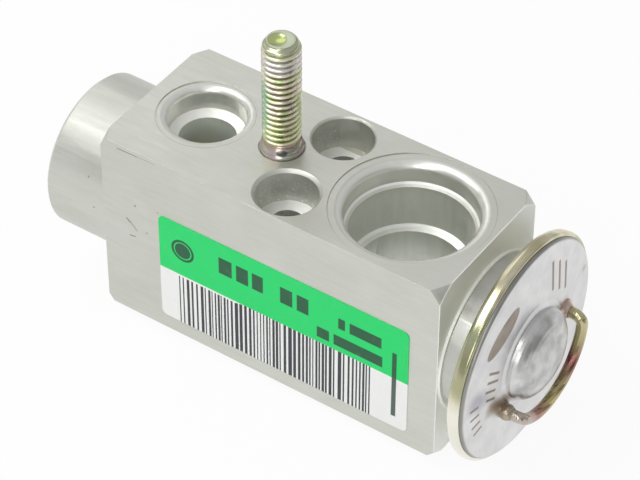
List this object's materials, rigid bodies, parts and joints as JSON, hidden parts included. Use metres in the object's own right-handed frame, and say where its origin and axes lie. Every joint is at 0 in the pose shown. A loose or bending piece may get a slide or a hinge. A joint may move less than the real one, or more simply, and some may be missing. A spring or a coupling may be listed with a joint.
{
  "type": "expansion valve",
  "caption": "Block-type thermostatic expansion valve with stepped pipe ports, a mounting stud, bolt holes and a round power head with a charge tube.",
  "frame": {"origin": "middle of the block's port face, the face that the stud stands on", "axes": "+X along the turned axis to the power head, +Y from the labelled front to the back, +Z out of the port face"},
  "size_m": [0.0842, 0.0366, 0.0557],
  "materials": {
    "block_aluminium": "satin, fine turned and extruded lines",
    "label_film": "satin printed film",
    "stud_plating": "yellow passivated, iridescent",
    "gold_plating": "yellow passivated, iridescent",
    "cover_steel": "satin",
    "spring_steel": "bright",
    "tube_copper": "heat-tinted copper",
    "braze_metal": "satin",
    "solder_metal": "dark, heat-tinted",
    "inner_aluminium": "turned",
    "inner_brass": "turned",
    "bright_steel": "bright",
    "seal_rubber": "matte",
    "screw_plating": "zinc plated"
  },
  "bodies": {
    "valve": {"valve_body": "block_aluminium", "label": "label_film", "mounting_stud": "stud_plating", "lower_cover": "gold_plating", "upper_cover": "cover_steel", "diaphragm": "spring_steel", "charge_tube": "tube_copper", "tube_braze": "braze_metal", "tube_seal": "solder_metal", "stem_guide": "inner_brass", "pin_oring": "seal_rubber", "seal_washer": "bright_steel", "valve_spring": "spring_steel", "setting_screw": "screw_plating", "screw_oring": "seal_rubber", "head_oring": "seal_rubber"},
    "stem": {"feeler_stem": "inner_aluminium", "push_pin": "bright_steel", "valve_ball": "bright_steel", "ball_carrier": "inner_brass", "damper_clip": "spring_steel"}
  },
  "joints": [
    {"name": "stem_lift", "type": "slide", "parent": "valve", "child": "stem", "axis": [-1, 0, 0], "range_m": [0, 0.0007], "stiffness_N_per_m": 12000, "deforming": ["valve_spring", "diaphragm"]}
  ]
}
